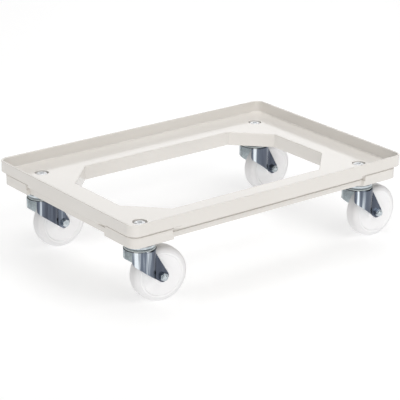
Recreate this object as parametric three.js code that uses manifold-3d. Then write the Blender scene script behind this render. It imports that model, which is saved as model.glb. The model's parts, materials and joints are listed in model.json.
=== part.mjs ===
// Open-deck platform trolley for 600 x 400 mm crates.
// Units are millimetres, +Z is up, the long side runs along X and the wheels stand on z = 0.
// The origin lies on the floor, under the middle of the whole trolley with its castors at rest.

import * as THREE from 'three';
import { mergeVertices } from 'three/addons/utils/BufferGeometryUtils.js';
import Module from 'manifold-3d';

const wasm = await Module();
wasm.setup();

// ---- Driving dimensions ----

const FIT_GAP = 0.3;              // play kept between pieces that rest on each other

const DECK = {
  length: 615,
  width: 415,
  cornerRadius: 18,
  skirtCornerRadius: 18,
  top: 170,                       // rim top above the floor
  rimThickness: 4,
  rimEdge: 0.8,                   // small bevel along the rim's top edges
  floor: 148.5,                   // upper face of the deck plate
  plate: 4,                       // deck plate thickness
  wall: 3,
  bandBottom: 149,                // lower edge of the outer band at the corners
  ledgeBottom: 146,
  midBandBottom: 144,             // lower edge of the outer band between the corners
  skirtInset: 6,
  skirtBottom: 125,
  midInset: 13,
  midBottom: 126,
  skirtEndX: 217,                 // where the corner skirts stop along the long sides
  skirtEndY: 120,                 // and along the short sides
  ramp: 14,                       // length over which the band steps out between the skirts
};

const OPENING = { halfX: 232, halfY: 132, gusset: 64, wall: 3, bottom: 122 };

const RIB = { thickness: 2.5, bottom: 128, pitch: 62 };

const BOSS = { radius: 28, bottom: 113, recessRadius: 12.5, recessFloor: 139, boltHole: 6.6 };

const CASTOR = {
  x: 250,                         // swivel axes, measured from the deck's centre
  y: 150,
  trail: 34.5,
  axleHeight: 50,
};

// Each castor has swivelled a little on its own: heading is the trailing direction in degrees from +X.
// boltHeadAt is the side of the fork, along the castor's own Y, that the axle bolt's head is on.
const CASTORS = [
  { name: 'front_left', sideX: -1, sideY: -1, heading: -10, boltHeadAt: 1 },
  { name: 'front_right', sideX: 1, sideY: -1, heading: -2, boltHeadAt: 1 },
  { name: 'back_left', sideX: -1, sideY: 1, heading: -2, boltHeadAt: -1 },
  { name: 'back_right', sideX: 1, sideY: 1, heading: 1, boltHeadAt: 1 },
];

const WHEEL = {
  radius: 50,
  width: 31,
  shoulder: 9.5,
  bore: 6.8,
  hubRadius: 13,
  hubWidth: 34,
  webInset: 1.6,
  rimRadius: 38,
};

const FORK = {
  crownTop: 105,
  sheet: 2.5,
  drumRadius: 29,
  shoulder: 5,
  crownHole: 9.6,
  flank: 20,                      // outer face of the flat flanks, from the wheel's middle plane
  flankStart: 18,
  slotTop: 102.2,
  slotFront: 18,                  // half width of the front opening
  slotRear: 17.5,
  cornerRadius: 12,               // round corner at the foot of each leg's front edge
  cornerHeight: 85.6,
  rearShoulderX: 20,
  rearShoulderZ: 96,
  eyeRadius: 10.5,
  axleHole: 4.4,
};

const HEAD = {
  top: BOSS.bottom - FIT_GAP,
  plate: 2.7,
  radius: 27,
  lip: 2,
  lipBottom: 107.3,
  tubeOuter: 8.6,
  tubeInner: 6.4,
  tubeBottom: 97.7,
};

const BALLS = {
  upperRadius: 20,
  upperBall: 2.3,
  lowerRadius: 11.6,
  lowerBall: 1.5,
};

const LOWER_CUP = { radius: 13.8, top: 99, bottom: 97.2, lipTop: 100.6, lip: 0.6 };

// The bolt's domed head sits in the deck's recess; its nut is under the lower bearing cup.
const MOUNT_BOLT = {
  shank: 6,
  headRadius: 10.2,
  headTop: 147.6,
  shoulder: 1.8,                  // how far the head's edge lies below its top
  crownRadius: 7.6,
  socketFlats: 8,
  socketDepth: 4,
  tip: 94.6,
};
const MOUNT_WASHER = { radius: 11.6, height: 1.6 };
const MOUNT_NUT = { flats: 16, top: 96.9, bottom: 94.4 };

const AXLE = {
  shank: 4,
  headFlats: 13,
  headHeight: 5.3,
  nutFlats: 13,
  nutHex: 5.6,
  nutHeight: 8,                   // with the round collar of the lock nut
  collarRadius: 5.6,
  threadBeyond: 0.6,
  sleeveOuter: 6.4,
  sleeveInner: 4.4,
};

const ROUND = 24;                 // segments round a full turn of a visible round piece
const ROUND_SMALL = 12;           // and of a small one

// ---- Materials ----

function finish(color, roughness, metalness) {
  return new THREE.MeshStandardMaterial({ color, roughness, metalness });
}

const MATERIALS = {
  deck: finish(0xe9e4dd, 0.35, 0),
  wheel: finish(0xf3f1f1, 0.4, 0),
  zinc: finish(0xb9c2ca, 0.28, 1),
  fastener: finish(0xc4c8ca, 0.32, 1),
  bearing: finish(0xd2d6d8, 0.2, 1),
};

// ---- Solids ----

function solid(geometry) {
  const bare = geometry.clone();
  bare.deleteAttribute('normal');
  bare.deleteAttribute('uv');
  const merged = mergeVertices(bare, 1e-4);
  return new wasm.Manifold(new wasm.Mesh({
    numProp: 3,
    vertProperties: merged.attributes.position.array,
    triVerts: new Uint32Array(merged.index.array),
  }));
}

function geometryOf(manifold) {
  const mesh = manifold.getMesh();
  const geometry = new THREE.BufferGeometry();
  geometry.setAttribute('position', new THREE.BufferAttribute(mesh.vertProperties, 3));
  geometry.setIndex(new THREE.BufferAttribute(mesh.triVerts, 1));
  return geometry;
}

function union(solids) {
  return solids.reduce((sum, next) => sum.add(next));
}

// Closed solid between an outline at z0 and an outline with as many points at z1.
function loft(lower, z0, upper, z1) {
  const count = lower.length;
  const positions = [];
  lower.forEach((p) => positions.push(p.x, p.y, z0));
  upper.forEach((p) => positions.push(p.x, p.y, z1));
  const index = [];
  THREE.ShapeUtils.triangulateShape(lower, []).forEach(([a, b, c]) => {
    index.push(a, c, b);
    index.push(a + count, b + count, c + count);
  });
  for (let i = 0; i < count; i += 1) {
    const next = (i + 1) % count;
    index.push(i, next, next + count);
    index.push(i, next + count, i + count);
  }
  const geometry = new THREE.BufferGeometry();
  geometry.setAttribute('position', new THREE.Float32BufferAttribute(positions, 3));
  geometry.setIndex(index);
  return solid(geometry);
}

function prism(outline, z0, z1) {
  return loft(outline, z0, outline, z1);
}

function box(x0, x1, y0, y1, z0, z1) {
  const geometry = new THREE.BoxGeometry(x1 - x0, y1 - y0, z1 - z0);
  geometry.translate((x0 + x1) / 2, (y0 + y1) / 2, (z0 + z1) / 2);
  return solid(geometry);
}

function cylinder(radius, z0, z1, x = 0, y = 0, segments = ROUND) {
  const geometry = new THREE.CylinderGeometry(radius, radius, z1 - z0, segments);
  geometry.rotateX(Math.PI / 2);
  geometry.translate(x, y, (z0 + z1) / 2);
  return solid(geometry);
}

// Body of revolution about Z from a closed outline of [radius, z] pairs, listed anticlockwise.
function turned(profile, segments = ROUND) {
  const points = profile.map(([r, z]) => new THREE.Vector2(r, z));
  points.push(points[0].clone());
  const geometry = new THREE.LatheGeometry(points, segments);
  geometry.rotateX(Math.PI / 2);
  return solid(geometry);
}

function ring(inner, outer, z0, z1, segments = ROUND) {
  return turned([[inner, z0], [outer, z0], [outer, z1], [inner, z1]], segments);
}

function hexagon(flats, z0, z1) {
  return cylinder(flats / Math.sqrt(3), z0, z1, 0, 0, 6);
}

// Turns a body built along Z so that it lies along Y, at the wheel axle.
function alongAxle(manifold) {
  const matrix = new THREE.Matrix4().makeTranslation(CASTOR.trail, 0, CASTOR.axleHeight);
  matrix.multiply(new THREE.Matrix4().makeRotationX(-Math.PI / 2));
  return geometryOf(manifold).applyMatrix4(matrix);
}

// ---- Outlines ----

function roundedRectangle(halfX, halfY, radius, segments = 4) {
  const outline = [];
  const corners = [[1, 1, 0], [-1, 1, 90], [-1, -1, 180], [1, -1, 270]];
  corners.forEach(([sx, sy, start]) => {
    for (let i = 0; i <= segments; i += 1) {
      const angle = THREE.MathUtils.degToRad(start + (90 * i) / segments);
      outline.push(new THREE.Vector2(
        sx * (halfX - radius) + radius * Math.cos(angle),
        sy * (halfY - radius) + radius * Math.sin(angle),
      ));
    }
  });
  return outline;
}

function deckOutline(inset, radius = DECK.cornerRadius - inset) {
  return roundedRectangle(DECK.length / 2 - inset, DECK.width / 2 - inset, radius);
}

function octagon(halfX, halfY, cut) {
  return [
    [halfX, -halfY + cut], [halfX, halfY - cut], [halfX - cut, halfY], [-halfX + cut, halfY],
    [-halfX, halfY - cut], [-halfX, -halfY + cut], [-halfX + cut, -halfY], [halfX - cut, -halfY],
  ].map(([x, y]) => new THREE.Vector2(x, y));
}

// ---- Deck ----

function deckShell() {
  const edge = DECK.rimEdge;
  const skirt = deckOutline(DECK.skirtInset, DECK.skirtCornerRadius);
  return union([
    prism(skirt, DECK.skirtBottom, DECK.ledgeBottom),
    loft(skirt, DECK.ledgeBottom, deckOutline(0), DECK.bandBottom),
    prism(deckOutline(0), DECK.bandBottom, DECK.top - edge),
    loft(deckOutline(0), DECK.top - edge, deckOutline(edge), DECK.top),
  ]);
}

// The space outside the set-back walls, between the corner skirts.
function midRecess() {
  const reach = 20;
  const halfX = DECK.length / 2;
  const halfY = DECK.width / 2;
  const below = DECK.skirtBottom - 1;
  const cuts = [];
  [-1, 1].forEach((side) => {
    const y = [side * (halfY - DECK.midInset), side * (halfY + reach)].sort((a, b) => a - b);
    const x = [side * (halfX - DECK.midInset), side * (halfX + reach)].sort((a, b) => a - b);
    cuts.push(box(-DECK.skirtEndX, DECK.skirtEndX, y[0], y[1], below, DECK.ledgeBottom));
    cuts.push(box(x[0], x[1], -DECK.skirtEndY, DECK.skirtEndY, below, DECK.ledgeBottom));
  });
  const stretchX = box(-DECK.skirtEndX, DECK.skirtEndX, -halfY, halfY, below, DECK.midBottom);
  const stretchY = box(-halfX, halfX, -DECK.skirtEndY, DECK.skirtEndY, below, DECK.midBottom);
  return union([...cuts, stretchX, stretchY]);
}

// The deeper part of the band between the skirts, ramped in plan at both ends.
function midBands() {
  const halfX = DECK.length / 2;
  const halfY = DECK.width / 2;
  const inner = DECK.midInset + 1;
  const strip = (end, face) => [
    [end, face - inner], [end, face - DECK.skirtInset], [end - DECK.ramp, face],
    [-end + DECK.ramp, face], [-end, face - DECK.skirtInset], [-end, face - inner],
  ].map(([along, out]) => new THREE.Vector2(along, out));
  const turn = (outline, angle) => outline.map((p) => p.clone().rotateAround(new THREE.Vector2(), angle));
  const bands = [
    turn(strip(DECK.skirtEndX, halfY), 0),
    turn(strip(DECK.skirtEndX, halfY), Math.PI),
    turn(strip(DECK.skirtEndY, halfX), Math.PI / 2),
    turn(strip(DECK.skirtEndY, halfX), -Math.PI / 2),
  ];
  return union(bands.map((outline) => prism(outline, DECK.midBandBottom, DECK.bandBottom)));
}

function castorPoints() {
  return CASTORS.map(({ sideX, sideY }) => [sideX * CASTOR.x, sideY * CASTOR.y]);
}

function bosses() {
  return union(castorPoints().map(([x, y]) => cylinder(BOSS.radius, BOSS.bottom, DECK.floor, x, y)));
}

function ribs() {
  const half = RIB.thickness / 2;
  const halfX = DECK.length / 2 - DECK.skirtInset - 1;
  const halfY = DECK.width / 2 - DECK.skirtInset - 1;
  const top = DECK.floor - 1;
  const solids = [];
  const steps = (reach) => Math.floor(reach / RIB.pitch);
  for (let i = -steps(OPENING.halfX); i <= steps(OPENING.halfX); i += 1) {
    const x = i * RIB.pitch;
    solids.push(box(x - half, x + half, -halfY, halfY, RIB.bottom, top));
  }
  for (let i = -steps(OPENING.halfY); i <= steps(OPENING.halfY); i += 1) {
    const y = i * RIB.pitch;
    solids.push(box(-halfX, halfX, y - half, y + half, RIB.bottom, top));
  }
  [-1, 1].forEach((side) => {
    const x = side * CASTOR.x;
    const y = side * CASTOR.y;
    solids.push(box(x - half, x + half, -halfY, halfY, RIB.bottom, top));
    solids.push(box(-halfX, halfX, y - half, y + half, RIB.bottom, top));
  });
  return union(solids);
}

// Everything under the deck plate that is hollow, before ribs and bosses are put back.
function hollow() {
  const wall = DECK.wall;
  const ceiling = DECK.floor - DECK.plate;
  const low = DECK.skirtBottom - 2;
  const halfX = DECK.length / 2;
  const halfY = DECK.width / 2;
  const inside = prism(deckOutline(DECK.skirtInset + wall, DECK.skirtCornerRadius - wall), low, ceiling);
  const endX = DECK.skirtEndX + wall;
  const endY = DECK.skirtEndY + wall;
  const inner = DECK.midInset + wall;
  const keep = [-1, 1].flatMap((side) => {
    const y = [side * (halfY - inner), side * halfY].sort((a, b) => a - b);
    const x = [side * (halfX - inner), side * halfX].sort((a, b) => a - b);
    return [box(-endX, endX, y[0], y[1], low, ceiling), box(x[0], x[1], -endY, endY, low, ceiling)];
  });
  return inside.subtract(union(keep));
}

// The skirt wall that hangs round the central opening.
function collar() {
  const reach = OPENING.wall;
  const outline = octagon(
    OPENING.halfX + reach,
    OPENING.halfY + reach,
    OPENING.gusset + reach * (2 - Math.SQRT2),
  );
  return prism(outline, OPENING.bottom, DECK.floor);
}

function buildDeck() {
  const tray = prism(deckOutline(DECK.rimThickness), DECK.floor, DECK.top + 1);
  const walls = deckShell().subtract(midRecess()).add(midBands());
  const shell = walls.subtract(hollow().subtract(ribs())).add(collar()).add(bosses());
  const well = octagon(OPENING.halfX, OPENING.halfY, OPENING.gusset);
  const opening = prism(well, OPENING.bottom - 1, DECK.top);
  const holes = castorPoints().flatMap(([x, y]) => [
    cylinder(BOSS.recessRadius, BOSS.recessFloor, DECK.floor + 1, x, y),
    cylinder(BOSS.boltHole, BOSS.bottom - 1, BOSS.recessFloor + 1, x, y, ROUND_SMALL),
  ]);
  return geometryOf(shell.subtract(tray).subtract(opening).subtract(union(holes)));
}

// ---- Castor: swivel head and its fasteners ----

function buildHead() {
  const plateBottom = HEAD.top - HEAD.plate;
  return turned([
    [HEAD.tubeInner, HEAD.tubeBottom], [HEAD.tubeOuter, HEAD.tubeBottom],
    [HEAD.tubeOuter, plateBottom], [HEAD.radius - HEAD.lip, plateBottom],
    [HEAD.radius - HEAD.lip, HEAD.lipBottom], [HEAD.radius, HEAD.lipBottom],
    [HEAD.radius, HEAD.top - 1], [HEAD.radius - 1, HEAD.top], [HEAD.tubeInner, HEAD.top],
  ]);
}

// A ring of balls in its cage, as one plain ring.
function buildBallRing(radius, ball, centre) {
  const profile = [];
  const sides = 6;
  for (let i = 0; i < sides; i += 1) {
    const angle = (Math.PI * (2 * i + 1)) / sides;
    profile.push([radius + ball * Math.cos(angle), centre + ball * Math.sin(angle)]);
  }
  return turned(profile, ROUND_SMALL);
}

function buildLowerCup() {
  const cup = LOWER_CUP;
  return turned([
    [HEAD.tubeOuter + FIT_GAP, cup.bottom], [cup.radius, cup.bottom], [cup.radius, cup.lipTop],
    [cup.radius - cup.lip, cup.lipTop], [cup.radius - cup.lip, cup.top],
    [HEAD.tubeOuter + FIT_GAP, cup.top],
  ], ROUND_SMALL);
}

function buildMountBolt() {
  const bolt = MOUNT_BOLT;
  const seat = BOSS.recessFloor + MOUNT_WASHER.height + 2 * FIT_GAP;
  const body = turned([
    [0, bolt.tip], [bolt.shank - 0.8, bolt.tip], [bolt.shank, bolt.tip + 0.8],
    [bolt.shank, seat], [bolt.headRadius, seat], [bolt.headRadius, bolt.headTop - bolt.shoulder],
    [(bolt.headRadius + bolt.crownRadius) / 2, bolt.headTop - bolt.shoulder / 3],
    [bolt.crownRadius, bolt.headTop], [0, bolt.headTop],
  ], ROUND);
  return body.subtract(hexagon(bolt.socketFlats, bolt.headTop - bolt.socketDepth, bolt.headTop + 1));
}

function buildMountWasher() {
  const bottom = BOSS.recessFloor + FIT_GAP;
  return ring(
    MOUNT_BOLT.shank + FIT_GAP, MOUNT_WASHER.radius, bottom, bottom + MOUNT_WASHER.height, ROUND_SMALL,
  );
}

// Hexagon between z0 and z1 with its corners turned down at the chosen ends.
function nutBody(flats, z0, z1, bottomChamfer, topChamfer) {
  const corner = flats / Math.sqrt(3);
  const drop = (corner - flats / 2) * 0.7;
  const z = (end, on, inward) => (on ? end + inward * drop : end);
  const lathe = turned([
    [0, z0], [bottomChamfer ? flats / 2 : corner, z0], [corner + 0.1, z(z0, bottomChamfer, 1)],
    [corner + 0.1, z(z1, topChamfer, -1)], [topChamfer ? flats / 2 : corner, z1], [0, z1],
  ], ROUND_SMALL);
  return hexagon(flats, z0, z1).intersect(lathe);
}

function buildMountNut() {
  const { flats, top, bottom } = MOUNT_NUT;
  const hole = cylinder(MOUNT_BOLT.shank + FIT_GAP, bottom - 1, top + 1, 0, 0, ROUND_SMALL);
  return nutBody(flats, bottom, top, true, false).subtract(hole);
}

// ---- Castor: fork ----

// Direction of the outward normal of the line that touches two circles on their side given by sign.
function tangentNormal(centreA, radiusA, centreB, radiusB, sign) {
  const between = centreB.clone().sub(centreA);
  return between.angle() + sign * Math.acos((radiusA - radiusB) / between.length());
}

// Side view of a fork leg, in x and z.
function legOutline() {
  const { drumRadius, slotFront, crownTop, cornerRadius, eyeRadius } = FORK;
  const frontEdge = -Math.sqrt(drumRadius ** 2 - slotFront ** 2);
  const corner = new THREE.Vector2(frontEdge + cornerRadius, FORK.cornerHeight);
  const eye = new THREE.Vector2(CASTOR.trail, CASTOR.axleHeight);
  const rear = new THREE.Vector2(FORK.rearShoulderX, FORK.rearShoulderZ);
  const under = tangentNormal(corner, cornerRadius, eye, eyeRadius, -1);
  const behind = tangentNormal(rear, 0, eye, eyeRadius, 1);
  const shape = new THREE.Shape();
  shape.moveTo(rear.x, crownTop + 1);
  shape.lineTo(-drumRadius - 1, crownTop + 1);
  shape.lineTo(-drumRadius - 1, crownTop);
  shape.lineTo(frontEdge, crownTop);
  shape.absarc(corner.x, corner.y, cornerRadius, Math.PI, under, false);
  shape.absarc(eye.x, eye.y, eyeRadius, under, behind, false);
  shape.lineTo(rear.x, rear.y);
  return shape;
}

function acrossWheel(shape, halfWidth) {
  const geometry = new THREE.ExtrudeGeometry(shape, {
    depth: 2 * halfWidth, bevelEnabled: false, curveSegments: 4,
  });
  geometry.translate(0, 0, -halfWidth);
  geometry.rotateX(Math.PI / 2);
  return solid(geometry);
}

function buildFork() {
  const { drumRadius, sheet, crownTop, shoulder, crownHole } = FORK;
  const inner = drumRadius - sheet;
  const ceiling = crownTop - sheet;
  const innerShoulder = shoulder - sheet;
  const below = CASTOR.axleHeight - 2 * FORK.eyeRadius;
  const profile = [[inner, below], [drumRadius, below]];
  for (let i = 0; i <= 2; i += 1) {
    const angle = (Math.PI / 4) * i;
    profile.push([
      drumRadius - shoulder + shoulder * Math.cos(angle),
      crownTop - shoulder + shoulder * Math.sin(angle),
    ]);
  }
  profile.push([crownHole, crownTop], [crownHole, ceiling]);
  for (let i = 0; i <= 2; i += 1) {
    const angle = (Math.PI / 4) * (2 - i);
    profile.push([
      inner - innerShoulder + innerShoulder * Math.cos(angle),
      ceiling - innerShoulder + innerShoulder * Math.sin(angle),
    ]);
  }
  const drum = turned(profile, 28);
  const halfWidth = drumRadius + 1;
  const legs = acrossWheel(legOutline(), halfWidth);
  const crown = box(-halfWidth, halfWidth, -halfWidth, halfWidth, FORK.slotTop, crownTop + 1);
  const frontSlot = box(-halfWidth - 1, 0, -FORK.slotFront, FORK.slotFront, below, FORK.slotTop);
  const rearSlot = box(-1, halfWidth + 1, -FORK.slotRear, FORK.slotRear, below, ceiling);
  const cup = drum.intersect(legs.add(crown)).subtract(frontSlot).subtract(rearSlot);
  const flankEnd = CASTOR.trail + 2 * FORK.eyeRadius;
  const flanks = [-1, 1].map((side) => {
    const y = [side * (FORK.flank - sheet), side * FORK.flank].sort((a, b) => a - b);
    return legs.intersect(box(FORK.flankStart, flankEnd, y[0], y[1], below, FORK.rearShoulderZ));
  });
  const axle = new THREE.CylinderGeometry(FORK.axleHole, FORK.axleHole, 4 * FORK.flank, ROUND_SMALL);
  axle.translate(CASTOR.trail, 0, CASTOR.axleHeight);
  return geometryOf(union([cup, ...flanks]).subtract(solid(axle)));
}

// ---- Castor: wheel and axle ----

function buildWheel() {
  const { radius, width, shoulder, bore, hubRadius, hubWidth, webInset, rimRadius } = WHEEL;
  const half = width / 2;
  const hubHalf = hubWidth / 2;
  const side = [[bore, hubHalf], [hubRadius - 0.8, hubHalf], [hubRadius, hubHalf - 0.8]];
  side.push([hubRadius + 1.5, half - webInset], [rimRadius - 2, half - webInset], [rimRadius, half]);
  for (let i = 0; i <= 2; i += 1) {
    const angle = (Math.PI / 4) * (2 - i);
    side.push([
      radius - shoulder + shoulder * Math.cos(angle),
      half - shoulder + shoulder * Math.sin(angle),
    ]);
  }
  const mirrored = side.map(([r, z]) => [r, -z]);
  const profile = [...mirrored, ...side.reverse()];
  return alongAxle(turned(profile, 28));
}

function buildSleeve() {
  const half = FORK.flank - FORK.sheet - FIT_GAP;
  return alongAxle(ring(AXLE.sleeveInner, AXLE.sleeveOuter, -half, half, ROUND_SMALL));
}

function buildAxleBolt() {
  const seat = FORK.flank + FIT_GAP;
  const nutSide = seat + AXLE.nutHeight + AXLE.threadBeyond;
  const head = nutBody(AXLE.headFlats, -seat - AXLE.headHeight, -seat, true, false);
  const shank = turned([
    [0, -seat - 1], [AXLE.shank, -seat - 1], [AXLE.shank, nutSide - 1],
    [AXLE.shank - 1, nutSide], [0, nutSide],
  ], ROUND_SMALL);
  return alongAxle(head.add(shank));
}

function buildAxleNut() {
  const start = FORK.flank + FIT_GAP;
  const hexEnd = start + AXLE.nutHex;
  const end = start + AXLE.nutHeight;
  const collar = cylinder(AXLE.collarRadius, hexEnd - 1, end, 0, 0, ROUND_SMALL);
  const hole = cylinder(AXLE.sleeveInner, start - 1, end + 1, 0, 0, ROUND_SMALL);
  return alongAxle(nutBody(AXLE.nutFlats, start, hexEnd, true, true).add(collar).subtract(hole));
}

// ---- Assembly ----

function mesh(name, geometry, material) {
  const piece = new THREE.Mesh(geometry, material);
  piece.name = name;
  return piece;
}

function buildCastor({ name, sideX, sideY, heading, boltHeadAt }) {
  const { deck, wheel, zinc, fastener, bearing } = MATERIALS;
  const castor = new THREE.Group();
  castor.position.set(sideX * CASTOR.x, sideY * CASTOR.y, 0);
  const upperBalls = (FORK.crownTop + HEAD.top - HEAD.plate) / 2;
  const lowerBalls = (FORK.crownTop - FORK.sheet + LOWER_CUP.top) / 2;
  castor.add(
    mesh(`${name}_mounting_bolt`, geometryOf(buildMountBolt()), fastener),
    mesh(`${name}_mounting_washer`, geometryOf(buildMountWasher()), fastener),
    mesh(`${name}_mounting_nut`, geometryOf(buildMountNut()), fastener),
    mesh(`${name}_swivel_head`, geometryOf(buildHead()), zinc),
    mesh(`${name}_upper_ball_ring`, geometryOf(
      buildBallRing(BALLS.upperRadius, BALLS.upperBall, upperBalls),
    ), bearing),
    mesh(`${name}_lower_ball_ring`, geometryOf(
      buildBallRing(BALLS.lowerRadius, BALLS.lowerBall, lowerBalls),
    ), bearing),
    mesh(`${name}_lower_bearing_cup`, geometryOf(buildLowerCup()), zinc),
  );
  const swivel = new THREE.Group();
  swivel.rotation.z = THREE.MathUtils.degToRad(heading);
  swivel.add(
    mesh(`${name}_fork`, buildFork(), zinc),
    mesh(`${name}_axle_sleeve`, buildSleeve(), fastener),
    mesh(`${name}_wheel`, buildWheel(), wheel),
  );
  const axle = new THREE.Group();
  axle.add(
    mesh(`${name}_axle_bolt`, buildAxleBolt(), fastener),
    mesh(`${name}_axle_nut`, buildAxleNut(), fastener),
  );
  if (boltHeadAt > 0) {
    axle.rotation.z = Math.PI;
    axle.position.x = 2 * CASTOR.trail;
  }
  swivel.add(axle);
  castor.add(swivel);
  return castor;
}

const trolley = new THREE.Group();
trolley.add(mesh('deck_frame', buildDeck(), MATERIALS.deck));
CASTORS.forEach((castor) => trolley.add(buildCastor(castor)));

// The trailing wheels reach past one end of the deck, so the origin is set under the whole trolley.
trolley.updateMatrixWorld(true);
const middle = new THREE.Box3().setFromObject(trolley, true).getCenter(new THREE.Vector3());
trolley.position.set(-middle.x, -middle.y, 0);

export default trolley;
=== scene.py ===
"""Looks for an open-deck platform trolley: a moulded deck frame on four swivel castors.

Everything is in metres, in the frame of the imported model. Round pieces are turned from
rounded outlines, pressed and moulded pieces are joined and cut from lofted solids.
"""

import json
import math

import bmesh
import bpy
from mathutils import Matrix, Vector


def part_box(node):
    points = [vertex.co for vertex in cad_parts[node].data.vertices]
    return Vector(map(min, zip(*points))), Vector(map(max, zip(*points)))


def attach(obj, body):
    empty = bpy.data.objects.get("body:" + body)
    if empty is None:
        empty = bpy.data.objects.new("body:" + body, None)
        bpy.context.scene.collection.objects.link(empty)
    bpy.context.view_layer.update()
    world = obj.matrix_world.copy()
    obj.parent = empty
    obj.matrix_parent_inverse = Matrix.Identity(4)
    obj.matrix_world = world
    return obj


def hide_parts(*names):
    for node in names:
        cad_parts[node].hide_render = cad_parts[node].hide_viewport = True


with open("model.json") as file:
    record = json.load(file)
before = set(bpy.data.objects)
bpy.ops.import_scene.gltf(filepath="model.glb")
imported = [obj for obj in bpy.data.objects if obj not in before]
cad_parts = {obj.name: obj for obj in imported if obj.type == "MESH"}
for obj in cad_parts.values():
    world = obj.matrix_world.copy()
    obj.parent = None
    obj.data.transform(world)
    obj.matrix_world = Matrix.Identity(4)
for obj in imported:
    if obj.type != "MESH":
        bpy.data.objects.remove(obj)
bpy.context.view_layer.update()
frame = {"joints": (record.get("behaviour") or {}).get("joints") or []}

# ---- Sizes, in metres ----

CORNERS = ("front_left", "front_right", "back_left", "back_right")
LOCK_NUT_SIDE = {"front_left": -1, "front_right": -1, "back_left": 1, "back_right": -1}

GAP = 0.0003                    # clearance between neighbouring pieces
PAST = 0.001                    # how far a cutting body reaches past what it cuts
FAR_PAST = 0.01                 # the same where there is plenty of room

DECK_LOW, DECK_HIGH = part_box("deck_frame")
DECK_CENTRE = (DECK_LOW + DECK_HIGH) / 2
DECK_HALF = (DECK_HIGH - DECK_LOW) / 2
RIM_TOP = DECK_HIGH.z
RIM_THICKNESS = 0.004
RIM_ROUND = 0.0013
CORNER_RADIUS = 0.018
PLATE_TOP = 0.1485
PLATE_FILLET = 0.0022
PLATE_THICKNESS = 0.004
WALL = 0.003
EDGE = 0.0008                   # rounding of the moulding's other edges

BAND_BOTTOM = 0.1488
BAND_ROUND = 0.0012
LEDGE = 0.146                   # where the band's sloping underside starts
GROOVE_HEIGHT = 0.0024          # of the dark line moulded under the ledge
GROOVE_DEPTH = 0.0020
GROOVE_LIP = 0.0004
SKIRT_INSET = 0.006
SKIRT_BOTTOM = 0.125
SKIRT_END = Vector((0.217, 0.120))
MID_BAND_BOTTOM = 0.144         # of the deeper band between the corner skirts
MID_RAMP = 0.016                # length of the curve out at its ends
MID_RAMP_STEPS = 10
MID_INSET = 0.013               # of the walls set back between the corner skirts
MID_BOTTOM = 0.126
MID_REACH = 0.03                # width of the space cut away outside those walls
MID_GROOVE_BOTTOM = 0.1352      # the set-back walls are thinner above this

OPENING_HALF = Vector((0.232, 0.132))
OPENING_CUT = 0.064             # how much of each side its cut-off corners take
OPENING_BOTTOM = 0.122
OPENING_CORNER = 0.003
OPENING_ROUND = 0.0018

RIB_THICKNESS = 0.0025
RIB_BOTTOM = 0.128
RIB_PITCH = 0.062
RIBS_BESIDE_MIDDLE = (3, 2)     # on each side of the middle rib, along X and along Y
RIB_INTO_BOSS = 0.002
RIB_END_DEPTH = 0.7 * WALL      # from the set-back walls' outer faces to the ribs' ends

BOSS_RADIUS = 0.028
BOSS_BOTTOM = 0.113
RECESS_RADIUS = 0.0125
RECESS_FLOOR = 0.139
BOLT_HOLE = 0.0066

WASHER_BORE = 0.0063
WASHER_RADIUS = 0.0116
WASHER_THICKNESS = 0.0016
BOLT_TOP = 0.1476
BOLT_TIP = 0.0946
BOLT_SHANK = 0.0060
BOLT_POINT = 0.0052
BOLT_CHAMFER = 0.0008
BOLT_HEAD = 0.0102
BOLT_DOME = 0.0076
BOLT_DOME_DROP = 0.0012
BOLT_SOCKET_FLATS = 0.008
BOLT_SOCKET_DEPTH = 0.004
NUT_TOP = 0.0969
NUT_BOTTOM = 0.0944
NUT_BORE = 0.0063
NUT_FLATS = 0.016

HEAD_BORE = 0.0064
HEAD_SPIGOT = 0.0086            # the tube that goes down through the fork's crown
HEAD_SPIGOT_BOTTOM = 0.0977
HEAD_SHEET = 0.0027
HEAD_RIM_INNER = 0.0250
HEAD_RIM_OUTER = 0.0270
HEAD_RIM_BOTTOM = 0.1073
CUP_RADIUS = 0.0138
CUP_BOTTOM = 0.0972
CUP_FLOOR = 0.0990
CUP_LIP_INNER = 0.0132
CUP_LIP_TOP = 0.1006
UPPER_BALLS = (0.020, 0.0023, 0.1075)       # ring radius, ball radius, height
LOWER_BALLS = (0.0116, 0.0015, 0.10075)
BALL_PITCH = 2.06                           # from ball to ball, in ball radii

AXLE_HEIGHT = 0.050
FORK_CROWN = 0.105
FORK_SHEET = 0.0025
FORK_RADIUS = 0.029
FORK_SHOULDER = 0.005
FORK_HOLE = 0.0096
FORK_FLANK = 0.020
FORK_FLANK_START = 0.018
FORK_SLOT_TOP = 0.1022
FORK_SLOT_FRONT = 0.018
FORK_SLOT_REAR = 0.0172
FORK_CORNER = 0.012
FORK_CORNER_HEIGHT = 0.0856
FORK_REAR = Vector((0.020, 0.096))
FORK_EYE = 0.0105
FORK_AXLE_HOLE = 0.0044
FORK_EDGE = 0.0003
FORK_LOOKS_IN = -0.0002         # a face whose normal lies this far against the way out
FORK_PAINTED_HIGHLIGHTS = (                # painted highlights on the drum: angle and width in degrees, and brightness
    (127, 8, 0.30),
    (101, 5, 0.05),
    (50, 3, 0.16),
)

WHEEL_HALF = 0.0155
WHEEL_WEB_DEPTH = 0.0016
WHEEL_WEB_INNER = 0.0142
WHEEL_WEB_OUTER = 0.0362
WHEEL_FACE_INNER = 0.0382
WHEEL_SHOULDER = 0.0094         # rounding from the faces onto the running surface
WHEEL_RUNNING = 0.0499
WHEEL_SEAM = 0.0500             # the moulding line that stands up along the middle
WHEEL_SEAM_FOOT = 0.0004
WHEEL_SEAM_HALF = 0.00015
WHEEL_TREAD_START = 0.0405      # where the wheel's faces give way to its tread
HUB_HALF = 0.017
HUB_BORE = 0.0068
HUB_RADIUS = 0.0130

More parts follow.
